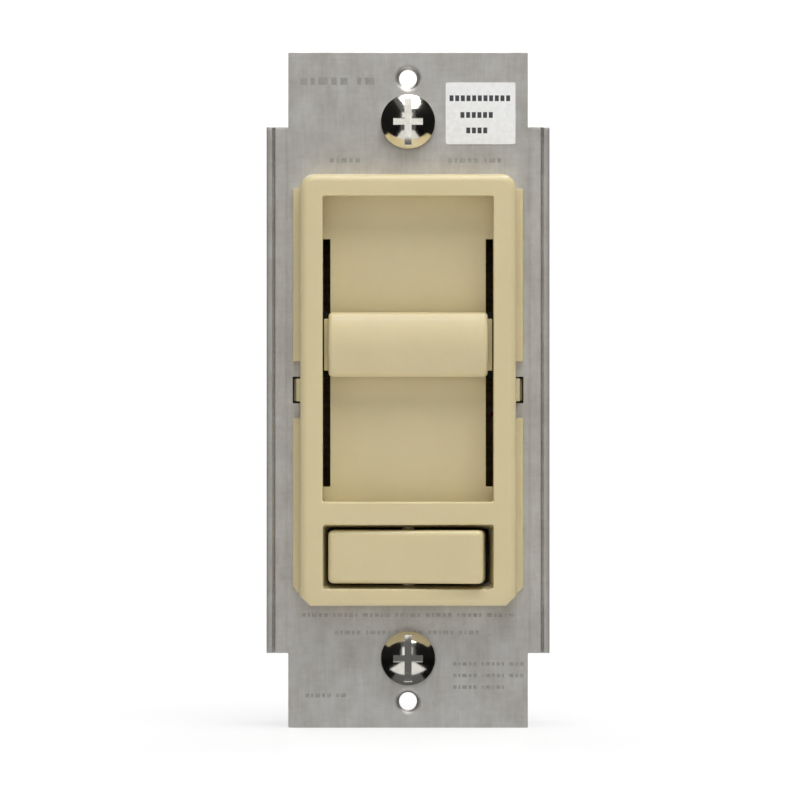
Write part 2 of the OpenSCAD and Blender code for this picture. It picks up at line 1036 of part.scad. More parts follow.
strap();
bezel();
slider_knob();
slider_carriage();
pot_lever();
pot_wiper();
pot_case();
pot_track();
pot_pins();
mechanism_frame();
rocker_button();
rocker_plunger();
plunger_spring();
switch_base();
contact_arm();
moving_contacts();
fixed_contacts();
fulcrum_terminal();
circuit_board();
triac();
triac_pad();
triac_rivet();
choke_core();
choke_winding();
film_capacitor();
trigger_capacitor();
resistors();
diac();
trim_pot();
back_housing();
housing_rivets();
ground_lug();
rating_label();
box_screw_top();
box_screw_bottom();
washer_top();
washer_bottom();
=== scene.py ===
"""Slide dimmer with a preset rocker: its visible pieces, finishes and studio stage."""
import math

import bmesh
import bpy
from mathutils import Matrix, Vector


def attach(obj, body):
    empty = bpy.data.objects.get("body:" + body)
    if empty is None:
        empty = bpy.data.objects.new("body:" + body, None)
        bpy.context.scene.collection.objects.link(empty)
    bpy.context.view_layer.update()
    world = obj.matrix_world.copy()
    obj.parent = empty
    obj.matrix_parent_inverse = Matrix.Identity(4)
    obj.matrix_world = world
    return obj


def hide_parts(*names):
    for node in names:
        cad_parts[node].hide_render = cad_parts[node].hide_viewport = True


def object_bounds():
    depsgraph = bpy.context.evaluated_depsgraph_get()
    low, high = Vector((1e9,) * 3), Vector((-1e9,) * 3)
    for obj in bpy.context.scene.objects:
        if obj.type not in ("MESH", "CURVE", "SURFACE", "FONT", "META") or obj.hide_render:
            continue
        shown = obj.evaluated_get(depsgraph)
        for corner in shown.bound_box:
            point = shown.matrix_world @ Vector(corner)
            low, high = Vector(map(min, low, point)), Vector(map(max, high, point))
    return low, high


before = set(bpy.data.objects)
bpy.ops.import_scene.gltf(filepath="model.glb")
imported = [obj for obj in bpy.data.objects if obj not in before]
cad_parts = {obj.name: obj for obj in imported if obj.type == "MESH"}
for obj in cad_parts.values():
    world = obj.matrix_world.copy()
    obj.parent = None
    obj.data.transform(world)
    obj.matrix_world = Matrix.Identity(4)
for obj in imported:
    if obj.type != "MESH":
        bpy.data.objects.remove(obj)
cad_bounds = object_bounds()

bl_info = {
    "name": "Slide Dimmer",
    "version": (1, 0, 0),
    "blender": (4, 5, 0),
    "location": "View3D > Sidebar > Dimmer",
    "description": "Builds a decorator-style slide dimmer on its mounting strap",
    "category": "Add Mesh",
}

MM = 0.001  # metres in a millimetre; the meshes are drawn in millimetres
UP, INTO_WALL = Vector((0, 0, 1)), Vector((0, 1, 0))
PITCH = 25.4 / 32  # millimetres between the turns of a 6-32 thread


# ---------------------------------------------------------------- mesh helpers


def block(bm, low, high):
    """Adds a block between two corners."""
    low, high = Vector(low), Vector(high)
    place = Matrix.Translation((low + high) / 2) @ Matrix.Diagonal((*(high - low), 1))
    return bmesh.ops.create_cube(bm, size=1, matrix=place)["verts"]


def rod(bm, radius, start, end, segments=32, end_radius=None):
    """Adds a round bar between two points, tapered if it has an end radius."""
    start, end = Vector(start), Vector(end)
    along = end - start
    turn = UP.rotation_difference(along).to_matrix().to_4x4()
    return bmesh.ops.create_cone(
        bm, cap_ends=True, segments=segments, radius1=radius,
        radius2=radius if end_radius is None else end_radius,
        depth=along.length,
        matrix=Matrix.Translation((start + end) / 2) @ turn,
    )["verts"]


def oblong(bm, length, width, centre, depth):
    """Adds an oblong plug along Y, from centre's depth to another."""
    x, y, z = centre
    segments = 40
    verts = rod(bm, width / 2, (x, y, z), (x, depth, z), segments)
    # Half a segment of turn, so that no corner lies on the middle
    turn = Matrix.Rotation(math.pi / segments, 3, "Y")
    bmesh.ops.rotate(bm, verts=verts, cent=centre, matrix=turn)
    for v in verts:
        v.co.x += math.copysign((length - width) / 2, v.co.x - x)
    return verts


def turned(bm, profile):
    """Spins a profile of (radius, depth) points about the Y axis."""
    verts = [bm.verts.new((r, y, 0)) for r, y in profile]
    edges = [bm.edges.new(pair) for pair in zip(verts, verts[1:])]
    bmesh.ops.spin(
        bm, geom=verts + edges, cent=(0, 0, 0), axis=INTO_WALL,
        angle=math.tau, steps=64, use_merge=True,
    )
    bmesh.ops.remove_doubles(bm, verts=bm.verts[:], dist=1e-4)
    bmesh.ops.recalc_face_normals(bm, faces=bm.faces[:])


def thread(bm, profile, centre, turns):
    """Winds a closed profile of (radius, depth) points along Y as a screw thread."""
    ridge = bmesh.new()
    steps = 20
    verts = [ridge.verts.new((r, y, 0)) for r, y in profile]
    bmesh.ops.spin(
        ridge,
        geom=[ridge.faces.new(verts), *ridge.edges, *ridge.verts],
        cent=(0, 0, 0),
        axis=INTO_WALL,
        dvec=(0, PITCH / steps, 0),
        angle=math.tau * turns,
        steps=round(steps * turns),
    )
    bmesh.ops.translate(ridge, verts=ridge.verts[:], vec=centre)
    bmesh.ops.recalc_face_normals(ridge, faces=ridge.faces[:])
    join(bm, ridge)


def slice_across(bm, axis, *places):
    """Cuts the whole mesh along planes square to an axis, without parting it."""
    normal = Vector([float(i == axis) for i in range(3)])
    for place in places:
        bmesh.ops.bisect_plane(
            bm, geom=[*bm.verts, *bm.edges, *bm.faces], dist=1e-4,
            plane_co=normal * place, plane_no=normal,
        )


def faces_between(bm, low, high, normal=None):
    """Faces whose middle lies between two corners and that face a direction."""
    found = []
    bm.normal_update()
    for face in bm.faces:
        middle = face.calc_center_median()
        if all(a - 1e-3 <= m <= b + 1e-3 for a, m, b in zip(low, middle, high)):
            if normal is None or face.normal.dot(Vector(normal)) > 0.9:
                found.append(face)
    return found


def push(bm, faces, move):
    """Extrudes faces by a move, and takes away the faces left behind."""
    made = bmesh.ops.extrude_face_region(bm, geom=faces)["geom"]
    verts = [item for item in made if isinstance(item, bmesh.types.BMVert)]
    bmesh.ops.translate(bm, verts=verts, vec=move)
    bmesh.ops.delete(bm, geom=faces, context="FACES")
    return [item for item in made if isinstance(item, bmesh.types.BMFace)]


def close(a, b, slack=2e-3):
    return abs(a - b) < slack


def edges_where(bm, test):
    """Edges whose two ends pass a test of (first end, second end)."""
    return [edge for edge in bm.edges if test(edge.verts[0].co, edge.verts[1].co)]


def soften(bm, edges, radius, segments=4):
    """Rounds edges, or chamfers them with one segment."""
    bmesh.ops.bevel(
        bm, geom=edges, offset=radius, offset_type="OFFSET", segments=segments,
        profile=0.5, affect="EDGES", material=-1, clamp_overlap=True,
    )


def sharp_edges(bm, degrees=50):
    """Edges where two faces meet at more than an angle."""
    bm.normal_update()
    limit = math.radians(degrees)
    return [e for e in bm.edges if e.is_manifold and e.calc_face_angle(0) > limit]


def combined(bm, other, operation):
    """The first mesh cut by the second or joined with it, as one closed skin."""
    objects = []
    for source in (bm, other):
        mesh = bpy.data.meshes.new("Working mesh")
        source.to_mesh(mesh)
        source.free()
        objects.append(bpy.data.objects.new("Working piece", mesh))
        bpy.context.scene.collection.objects.link(objects[-1])
    modifier = objects[0].modifiers.new("Combine", "BOOLEAN")
    modifier.operation = operation
    modifier.object = objects[1]
    modifier.solver = "EXACT"
    modifier.use_self = True
    result = bmesh.new()
    result.from_object(objects[0], bpy.context.evaluated_depsgraph_get())
    for item in objects:
        mesh = item.data
        bpy.data.objects.remove(item)
        bpy.data.meshes.remove(mesh)
    if not result.faces:
        raise RuntimeError("Two forms could not be combined")
    return result


def join(bm, other):
    """Adds another mesh's skin to the first, and frees the other."""
    mesh = bpy.data.meshes.new("Working mesh")
    other.to_mesh(mesh)
    other.free()
    bm.from_mesh(mesh)
    bpy.data.meshes.remove(mesh)


def new_object(bm, name):
    """An object in the scene from a mesh in metres."""
    mesh = bpy.data.meshes.new(name)
    bm.to_mesh(mesh)
    bm.free()
    piece = bpy.data.objects.new(name, mesh)
    bpy.context.scene.collection.objects.link(piece)
    return piece


def finish_piece(bm, name, body, nodes, slot, *finishes, smooth_to=38):
    """Makes a mesh in millimetres a shaded piece that rides on a body."""
    bmesh.ops.remove_doubles(bm, verts=bm.verts[:], dist=1e-4)
    bmesh.ops.scale(bm, vec=(MM, MM, MM), verts=bm.verts[:])
    for face in bm.faces:
        face.smooth = True
    piece = new_object(bm, name)
    piece.data.set_sharp_from_angle(angle=math.radians(smooth_to))
    for finish in finishes:
        piece.data.materials.append(finish)
    shading = piece.modifiers.new("Even shading", "WEIGHTED_NORMAL")
    shading.keep_sharp = True
    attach(piece, body)
    if nodes:
        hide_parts(*nodes)
    return piece


def mm(length):
    """A property's length in millimetres."""
    return length / MM


# ---------------------------------------------------------------- finishes


def colour(hex_value):
    """Linear RGBA from an sRGB hex value."""
    parts = [int(hex_value[i : i + 2], 16) / 255 for i in (0, 2, 4)]
    return (
        *(c / 12.92 if c <= 0.04045 else ((c + 0.055) / 1.055) ** 2.4 for c in parts),
        1,
    )


def add_node(tree, kind, inputs=None, **settings):
    """Adds a node with its settings; an input that is a socket is linked."""
    node = tree.nodes.new(kind)
    for name, value in settings.items():
        setattr(node, name, value)
    for name, value in (inputs or {}).items():
        if isinstance(value, bpy.types.NodeSocket):
            tree.links.new(value, node.inputs[name])
        else:
            node.inputs[name].default_value = value
    return node


def new_material(name):
    """An empty node material, and its node tree."""
    material = bpy.data.materials.new(name)
    material.use_nodes = True
    material.node_tree.nodes.clear()
    return material, material.node_tree


def show(tree, shader):
    """Links a shader to the material's output."""
    add_node(tree, "ShaderNodeOutputMaterial", {"Surface": shader.outputs[0]})


def grained(name, light, dark, layers, rough, metallic=0.0, bump=0.0, **sockets):
    """A solid finish whose colour, gloss and relief follow its own grain.

    Each layer is (grain in mm, share) and, if the grain runs one way, its stretch.
    """
    material, tree = new_material(name)
    where = add_node(tree, "ShaderNodeTexCoord").outputs["Object"]
    tone = 0.0
    for grain, share, *stretch in layers:
        steps = [1 / (grain * MM * s) for s in (stretch or ((1, 1, 1),))[0]]
        spread = add_node(tree, "ShaderNodeMapping", {"Vector": where, "Scale": steps})
        noise = add_node(
            tree, "ShaderNodeTexNoise",
            {"Vector": spread.outputs[0], "Scale": 1.0, "Detail": 3.0, "Roughness": 0.6},
        )
        tone = add_node(
            tree, "ShaderNodeMath", {0: noise.outputs["Fac"], 1: share, 2: tone},
            operation="MULTIPLY_ADD",
        ).outputs[0]
    factor, gloss = (
        add_node(
            tree, "ShaderNodeMapRange",
            {"Value": tone, "From Min": 0.3, "From Max": 0.7, "To Min": low, "To Max": high},
        ).outputs["Result"]
        for low, high in ((0.0, 1.0), rough)
    )
    light, dark = (colour(c) if isinstance(c, str) else c for c in (light, dark))
    mixed = add_node(
        tree, "ShaderNodeMix", {0: factor, 6: light, 7: dark}, data_type="RGBA"
    )
    inputs = {
        "Base Color": mixed.outputs[2],
        "Roughness": gloss,
        "Metallic": metallic,
        **sockets,
    }
    if bump:
        inputs["Normal"] = add_node(
            tree, "ShaderNodeBump",
            {"Height": tone, "Strength": 1.0, "Distance": bump * MM},
        ).outputs[0]
    show(tree, add_node(tree, "ShaderNodeBsdfPrincipled", inputs))
    return material


def ivory(context):
    """The one ivory finish that the face, the knob and the rocker share.

    Ivory ABS, injection moulded in a satin-polished tool: an even warm colour, slightly
    translucent, with a soft gloss. The tool's 0.1 mm grain is drawn at 0.25 mm to show.
    """
    made = bpy.data.materials.get("Moulded ivory ABS")
    if made:
        return made
    shade = context.scene.dimmer_finish.ivory
    return grained(
        "Moulded ivory ABS",
        shade,
        [c * 0.94 for c in shade[:3]] + [1],
        ((9.0, 0.7), (0.25, 0.3)),
        (0.34, 0.42),
        bump=0.013,
        IOR=1.53,
        **{
            "Subsurface Weight": 0.3,
            "Subsurface Radius": (1.0, 0.75, 0.35),
            "Subsurface Scale": 1.2 * MM,
        },
    )


def aluminium(context):
    """Mill-finish 5052 aluminium sheet, cold rolled: fine streaks along the strip and
    cloudy patches, a broad dull sheen rather than a mirror."""
    finish = context.scene.dimmer_finish
    return grained(
        "Mill-finish aluminium",
        finish.aluminium_light,
        finish.aluminium_dark,
        ((0.35, 0.22, (1, 1, 12)), (0.5, 0.18, (5, 1, 1)), (3.2, 0.6, (1, 1, 1.6))),
        (0.46, 0.56),
        1.0,
        0.02,
    )


def nickel_plate():
    """Nickel-plated steel, barrel plated and bright: a warm grey mirror with hairline
    scratches from tumbling."""
    return grained(
        "Nickel-plated steel", "EAE7E0", "DAD6CC",
        ((0.18, 0.4, (1, 1, 9)), (1.5, 0.6)), (0.1, 0.17), 1.0, 0.003,
    )


# ---------------------------------------------------------------- settings


def length(name, description, default, low, high, unit=MM):
    """A length property, given in millimetres unless its unit says otherwise."""
    return bpy.props.FloatProperty(
        name=name, description=description, unit="LENGTH",
        default=default * unit, min=low * unit, max=high * unit,
    )


def tint(name, description, default):
    """A colour property."""
    return bpy.props.FloatVectorProperty(
        name=name, description=description, default=colour(default),
        size=4, min=0, max=1, subtype="COLOR",
    )


class FaceSettings(bpy.types.PropertyGroup):
    """Sizes of the clip-on face."""

    corner_radius: length(
        "Top corner radius", "Radius of the two upper corners, seen from the front",
        2.2, 0.5, 4,
    )
    corner_chamfer: length(
        "Bottom corner chamfer", "Chamfer of the two lower corners, seen from the front",
        1.5, 0.5, 3,
    )
    edge_radius: length(
        "Front edge radius", "Rounding of the face's front edge",
        1.2, 0.2, 2,
    )
    wall: length(
        "Wall", "Thickness of the moulding",
        1.3, 0.8, 2,
    )
    rim_radius: length(
        "Opening edge radius", "Rounding of the edges of the recess and of the rocker opening",
        0.35, 0.1, 0.8,
    )


class ControlSettings(bpy.types.PropertyGroup):
    """Sizes of the knob and the rocker."""

    knob_crown: length(
        "Knob crown", "How far the knob's front falls away towards its upper and lower edge",
        1.5, 0.2, 2,
    )
    knob_edge: length(
        "Knob edge radius", "Rounding of the knob's edges",
        1.2, 0.2, 1.5,
    )
    rocker_edge: length(
        "Rocker edge radius", "Rounding of the rocker's edges",
        0.8, 0.2, 1,
    )
    rocker_tilt: bpy.props.FloatProperty(
        name="Rocker tilt",
        description="Tilt of the rocker at rest, left end in",
        default=math.radians(5),
        min=0,
        max=math.radians(6),
        subtype="ANGLE",
    )


class FinishSettings(bpy.types.PropertyGroup):
    """Colours of the finishes that show."""

    ivory: tint("Ivory", "Colour of the face, the knob and the rocker", "D8CAA0")
    aluminium_light: tint("Aluminium, light", "Lighter streaks of the rolled sheet", "ECEAE6")
    aluminium_dark: tint("Aluminium, dark", "Darker streaks of the rolled sheet", "CDC9C3")


class StageSettings(bpy.types.PropertyGroup):
    """The camera and the light."""

    view_width: length(
        "View width", "Width that the camera sees at the strap",
        124.6, 50, 500,
    )
    camera_distance: length(
        "Camera distance", "Distance from the camera to the strap",
        0.93, 0.3, 3, unit=1,
    )
    camera_turn: bpy.props.FloatProperty(
        name="Camera turn",
        description="How far the camera stands to the object's left",
        default=0,
        min=-math.pi,
        max=math.pi,
        subtype="ANGLE",
    )


# ---------------------------------------------------------------- pieces

FACE_W, FACE_H = 33.3, 66.7
STRAP_T = 1.6
FACE_Y = -8.6
RECESS_HALF, RECESS_LOW, RECESS_TOP, RECESS_FLOOR = 13.2, -17.3, 30.0, -3.6
SLOT_W, SLOT_LOW, SLOT_TOP = 1.15, -15.0, 23.4
ROCKER_Z, OPENING_HALF, OPENING_H = -25.8, 13.2, 10.0
PIVOT = Vector((0, -4.0, ROCKER_Z))
KNOB_Z = 7.0
BOX_SCREW_Z = 83.34 / 2
PLATE_HOLE_Z = 96.84 / 2
RIVET_X, RIVET_Z = 15.3, 29.3


class DIMMER_OT_add_face(bpy.types.Operator):
    """Adds the clip-on face with its recess, slots, rocker opening, flanges and latches"""

    bl_idname = "dimmer.add_face"
    bl_label = "Add Face"

    def execute(self, context):
        size = context.scene.dimmer_face
        wall, rim = mm(size.wall), mm(size.rim_radius)
        opening_depth, draft = 6.2, 0.7
        w, h = FACE_W / 2, FACE_H / 2
        bm = bmesh.new()
        block(bm, (-w, FACE_Y, -h), (w, -STRAP_T, h))
        back = faces_between(bm, (-w, -STRAP_T, -h), (w, 0, h), INTO_WALL)
        bmesh.ops.delete(bm, geom=back, context="FACES")

        # The recess and the rocker's opening are pushed in from the front
        slice_across(bm, 0, -RECESS_HALF, RECESS_HALF)
        slice_across(bm, 2, RECESS_LOW, RECESS_TOP)
        recess = faces_between(
            bm, (-RECESS_HALF, FACE_Y, RECESS_LOW), (RECESS_HALF, FACE_Y, RECESS_TOP), -INTO_WALL
        )
        push(bm, recess, (0, RECESS_FLOOR - FACE_Y, 0))
        low, high = ROCKER_Z - OPENING_H / 2, ROCKER_Z + OPENING_H / 2
        slice_across(bm, 2, low, high)
        opening = faces_between(
            bm, (-OPENING_HALF, FACE_Y, low), (OPENING_HALF, FACE_Y, high), -INTO_WALL
        )
        bottom = push(bm, opening, (0, opening_depth, 0))
        # Its walls are drafted, closer together at the back
        for v in {v for face in bottom for v in face.verts}:
            v.co.x *= 1 - draft / OPENING_HALF
            v.co.z += (ROCKER_Z - v.co.z) * draft / (OPENING_H / 2)
        bmesh.ops.delete(bm, geom=bottom, context="FACES")

        # Slots along both sides of the recess floor
        slice_across(bm, 0, SLOT_W - RECESS_HALF, RECESS_HALF - SLOT_W)
        slice_across(bm, 2, SLOT_LOW, SLOT_TOP)
        for side in (-1, 1):
            near, far = sorted((side * RECESS_HALF, side * (RECESS_HALF - SLOT_W)))
            slot = faces_between(
                bm, (near, RECESS_FLOOR, SLOT_LOW), (far, RECESS_FLOOR, SLOT_TOP), -INTO_WALL
            )
            bmesh.ops.delete(bm, geom=slot, context="FACES")
        bmesh.ops.recalc_face_normals(bm, faces=bm.faces[:])
        bmesh.ops.solidify(bm, geom=bm.faces[:], thickness=wall)

        # Corners seen from the front: two round above, two chamfered below
        lean, least_depth = 0.9, 0.5  # a drafted wall's edges lean, by less than this

        def corners(x, z):
            def from_corner(a, b):
                fronts = [p for p in (a, b) if close(abs(p.x), x) and close(p.z, z)]
                return fronts and abs(a.x - b.x) < lean and abs(a.y - b.y) > least_depth

            return edges_where(bm, from_corner)

        for inset in (0, wall):
            soften(bm, corners(w - inset, h - inset), mm(size.corner_radius), 6)
            soften(bm, corners(w - inset, inset - h), mm(size.corner_chamfer), 1)
        # The cuts for the side slots hold the opening's corners well under this radius
        for z in (low, high):
            soften(bm, corners(OPENING_HALF, z), 1.5, 5)
        for z in (RECESS_LOW, RECESS_TOP):
            soften(bm, corners(RECESS_HALF, z), 0.4, 3)

        # Front edges: the outline, the recess's sloped lip and the rims
        def at_front(edge):
            return all(close(v.co.y, FACE_Y) for v in edge.verts)

        def outside(edge):
            return any(abs(v.co.x) > 13.6 or abs(v.co.z) > 31 for v in edge.verts)

        front = [e for e in sharp_edges(bm) if at_front(e)]
        soften(bm, [e for e in front if outside(e)], mm(size.edge_radius), 5)
        front = [e for e in sharp_edges(bm) if at_front(e) and not outside(e)]
        lip = [e for e in front if all(close(v.co.z, RECESS_LOW, 0.5) for v in e.verts)]
        soften(bm, lip, 1.0, 3)
        front = [e for e in sharp_edges(bm) if at_front(e) and not outside(e)]
        lip_zone = (RECESS_LOW - 1.3, RECESS_LOW + 0.1)
        rims = [
            e for e in front
            if not all(lip_zone[0] < v.co.z < lip_zone[1] for v in e.verts)
        ]
        soften(bm, rims, rim, 3)

        # Side flanges, interrupted at the latches
        low_end, high_end, reach, gap = mm(size.corner_chamfer) - h, 31.2, 1.2, 4.45
        flange_y = -STRAP_T - 1.2
        slice_across(bm, 1, flange_y)
        slice_across(bm, 2, low_end, -gap, gap, high_end)
        for side in (-1, 1):
            for ends in ((low_end, -gap), (gap, high_end)):
                flank = faces_between(
                    bm,
                    (side * w - 0.01, flange_y, ends[0]),
                    (side * w + 0.01, -STRAP_T, ends[1]),
                    (side, 0, 0),
                )
                push(bm, flank, (side * reach, 0, 0))

        def at_tip(v, z):
            return close(abs(v.x), w + reach) and close(v.z, z)

        # Their lower ends run on from the chamfered corners; the upper ones are round
        for v in bm.verts:
            if at_tip(v.co, low_end):
                v.co.z += reach
        tips = edges_where(bm, lambda a, b: at_tip(a, high_end) and at_tip(b, high_end))
        soften(bm, tips, 1.0, 4)
        ledge = [
            e for e in sharp_edges(bm)
            if all(abs(v.co.x) > w + 0.05 and close(v.co.y, flange_y) for v in e.verts)
        ]
        soften(bm, ledge, 0.3, 3)

        # Latch arms that hook behind the strap
        latch_half = 1.75
        for side in (-1, 1):
            arm = bmesh.new()
            profile = [
                (16.0, -4.6), (17.0, -4.6), (17.35, -4.2), (17.35, 0.15), (17.8, 0.15),
                (17.8, 0.5), (17.3, 1.3), (16.7, 1.3), (16.7, -1.7), (16.0, -2.2),
            ]
            verts = [arm.verts.new((side * x, y, -latch_half)) for x, y in profile]
            cap = arm.faces.new(verts)
            made = bmesh.ops.extrude_face_region(arm, geom=[cap])["geom"]
            moved = [v for v in made if isinstance(v, bmesh.types.BMVert)]
            bmesh.ops.translate(arm, verts=moved, vec=(0, 0, 2 * latch_half))
            bmesh.ops.recalc_face_normals(arm, faces=arm.faces[:])
            soften(arm, sharp_edges(arm, 80), 0.12, 2)
            join(bm, arm)

        finish_piece(
            bm, "face_moulding", "dimmer", ["bezel"], "ivory_plastic", ivory(context)
        )
        return {"FINISHED"}


class DIMMER_OT_add_knob(bpy.types.Operator):
    """Adds the slide control's crowned knob with its two legs"""

    bl_idname = "dimmer.add_knob"
    bl_label = "Add Slide Knob"

    def execute(self, context):
        size = context.scene.dimmer_controls
        half_w, half_h = 12.3, 5.0
        front, back, wall = FACE_Y - 0.5, RECESS_FLOOR - 0.3, 1.3
        bm = bmesh.new()
        block(bm, (-half_w, front, KNOB_Z - half_h), (half_w, back, KNOB_Z + half_h))
        slice_across(bm, 0, wall - half_w, half_w - wall)
        slice_across(bm, 2, KNOB_Z + wall - half_h, KNOB_Z + half_h - wall)
        hollow = faces_between(
            bm,
            (wall - half_w, back, KNOB_Z + wall - half_h),
            (half_w - wall, back, KNOB_Z + half_h - wall),
            INTO_WALL,
        )
        push(bm, hollow, (0, front + 1.9 - back, 0))
        slice_across(bm, 2, *[KNOB_Z + half_h * step / 8 for step in range(-7, 8)])
        for v in bm.verts:
            if close(v.co.y, front):
                v.co.y += mm(size.knob_crown) * ((v.co.z - KNOB_Z) / half_h) ** 2
        # All outer edges are rounded; those round the hollow stay crisp
        outer = [
            e for e in sharp_edges(bm)
            if all(
                close(abs(v.co.x), half_w) or close(abs(v.co.z - KNOB_Z), half_h)
                for v in e.verts
            )
            and not all(close(v.co.y, back) for v in e.verts)
        ]
        soften(bm, outer, mm(size.knob_edge), 5)
        # Each leg is thick in front of the recess floor and thin through the slot
        outer_x, thick, thin, leg_top, leg_end = 13.025, 1.0, 0.8, -6.7, 3.7
        low, high = KNOB_Z - 4, KNOB_Z + 4
        for side in (-1, 1):
            leg = bmesh.new()
            block(leg, (outer_x - thick, leg_top, low), (outer_x, back, high))
            soften(leg, sharp_edges(leg), 0.15, 2)
            block(leg, (outer_x - thin, back - 0.1, low), (outer_x, leg_end, high))
            bmesh.ops.scale(leg, vec=(side, 1, 1), verts=leg.verts[:])
            bmesh.ops.recalc_face_normals(leg, faces=leg.faces[:])
            join(bm, leg)
        finish_piece(
            bm, "slide_knob", "slider", ["slider_knob"], "ivory_plastic", ivory(context)
        )
        return {"FINISHED"}


class DIMMER_OT_add_rocker(bpy.types.Operator):
    """Adds the preset rocker with its valley, pivot pins and sprung middle web"""

    bl_idname = "dimmer.add_rocker"
    bl_label = "Add Rocker"

    def execute(self, context):
        size = context.scene.dimmer_controls
        half_w, half_h, wall = 12.0, 4.1, 1.3
        draft_left, draft_z = 0.2, 0.05
        front = FACE_Y - PIVOT.y
        rise = half_w * math.tan(size.rocker_tilt / 2)
        bm = bmesh.new()
        block(bm, (-half_w, front, -half_h), (half_w, 0.4, half_h))
        slice_across(bm, 0, -10.7, -2.3, 0, 2.3, 10.7)
        slice_across(bm, 2, 1.1 - half_h, half_h - 1.1)
        for near, far in ((-10.7, -2.3), (2.3, 10.7)):
            hollow = faces_between(
                bm, (near, 0.4, 1.1 - half_h), (far, 0.4, half_h - 1.1), INTO_WALL
            )
            push(bm, hollow, (0, front + wall - 0.4, 0))
        for v in bm.verts:
            if close(v.co.y, front):
                v.co.y -= rise * abs(v.co.x) / half_w
            elif close(v.co.y, 0.4):
                # The left end and the long sides are drafted, wider at the back
                if close(v.co.x, -half_w):
                    v.co.x -= draft_left
                if close(abs(v.co.z), half_h):
                    v.co.z += math.copysign(draft_z, v.co.z)
        outer = [
            e for e in sharp_edges(bm)
            if all(abs(v.co.x) > half_w - 0.01 or abs(v.co.z) > half_h - 0.01 for v in e.verts)
            and not all(close(v.co.y, 0.4) for v in e.verts)
        ]
        soften(bm, outer, mm(size.rocker_edge), 4)
        web = bmesh.new()
        block(web, (-2, -1, -2.2), (2, 7, 2.2))
        bore = bmesh.new()
        rod(bore, 1.25, (0, 1.4, 0), (0, 8, 0), 32)
        web = combined(web, bore, "DIFFERENCE")
        join(bm, web)
        rod(bm, 0.95, (0, 0, -5.9), (0, 0, 5.9), 32)
        turn = Matrix.Rotation(-size.rocker_tilt, 3, "Z")
        bmesh.ops.rotate(bm, verts=bm.verts[:], cent=(0, 0, 0), matrix=turn)
        bmesh.ops.translate(bm, verts=bm.verts[:], vec=PIVOT)
        finish_piece(
            bm, "preset_rocker", "rocker", ["rocker_button"], "ivory_plastic", ivory(context)
        )
        return {"FINISHED"}


